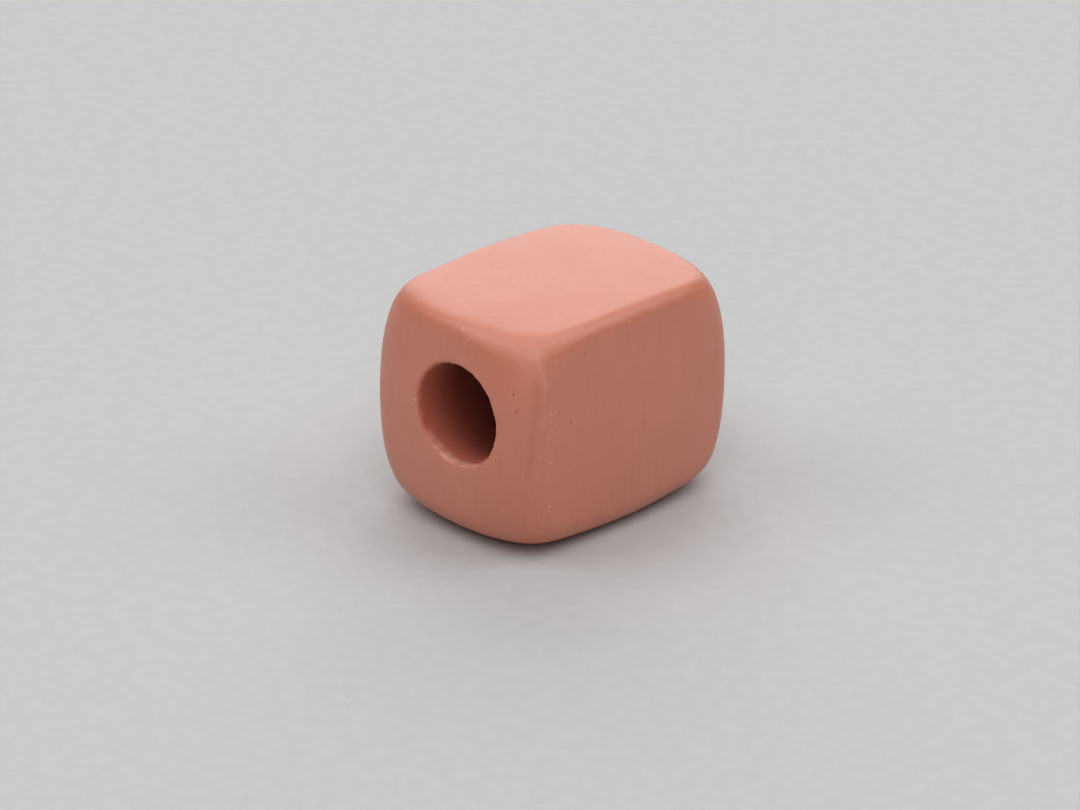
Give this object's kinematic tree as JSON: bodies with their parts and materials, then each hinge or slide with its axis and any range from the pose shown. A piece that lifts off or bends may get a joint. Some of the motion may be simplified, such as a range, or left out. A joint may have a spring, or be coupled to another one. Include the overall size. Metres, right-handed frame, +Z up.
{
  "type": "cube bead",
  "caption": "Rounded cube bead of painted wood, a little longer than wide, with a plain through bore for a cord.",
  "frame": {"origin": "middle of the base that the bead rests on, below the middle of the bead", "axes": "+Y along the bore, which is the bead's long direction; +Z up; +X across the bore, towards the side that the bore stands nearer to"},
  "size_m": [0.008, 0.0104, 0.008],
  "materials": {
    "painted_wood": "matt paint, coral, with the grain showing through"
  },
  "bodies": {
    "root": {"bead": "painted_wood"}
  },
  "joints": []
}
